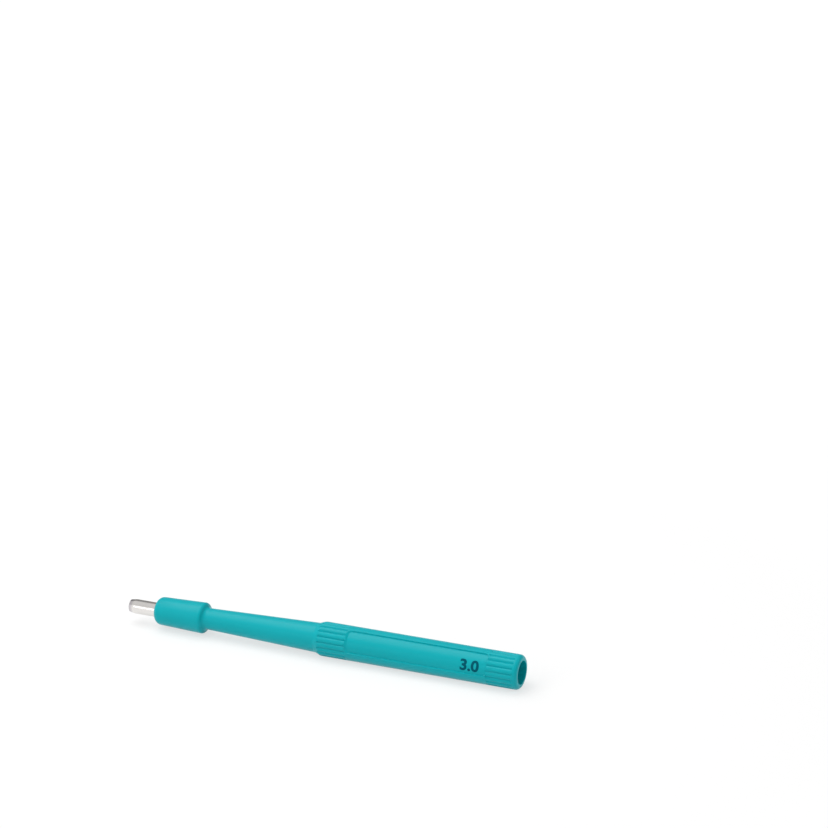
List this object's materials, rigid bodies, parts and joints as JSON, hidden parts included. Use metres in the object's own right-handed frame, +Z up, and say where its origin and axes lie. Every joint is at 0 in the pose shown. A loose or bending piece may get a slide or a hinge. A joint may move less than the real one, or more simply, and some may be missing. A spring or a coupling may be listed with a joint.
{
  "type": "biopsy punch",
  "caption": "Slim round handle with fluted grip bands, a shallow label panel and an open rear bore, holding a thin-walled steel tube with a bevelled round cutting edge.",
  "frame": {"origin": "centre of the round cutting edge at the front of the tube, on the axis", "axes": "+X along the axis from the cutting edge to the open rear end, +Z up as the punch lies on a table, with the label panel turned towards -Y and a little upwards"},
  "size_m": [0.1003, 0.0081, 0.008],
  "materials": {
    "handle_plastic": "teal moulded plastic with a soft sheen",
    "blade_steel": "polished stainless steel with fine drawing marks"
  },
  "bodies": {
    "root": {"handle": "handle_plastic", "blade": "blade_steel"}
  },
  "joints": []
}
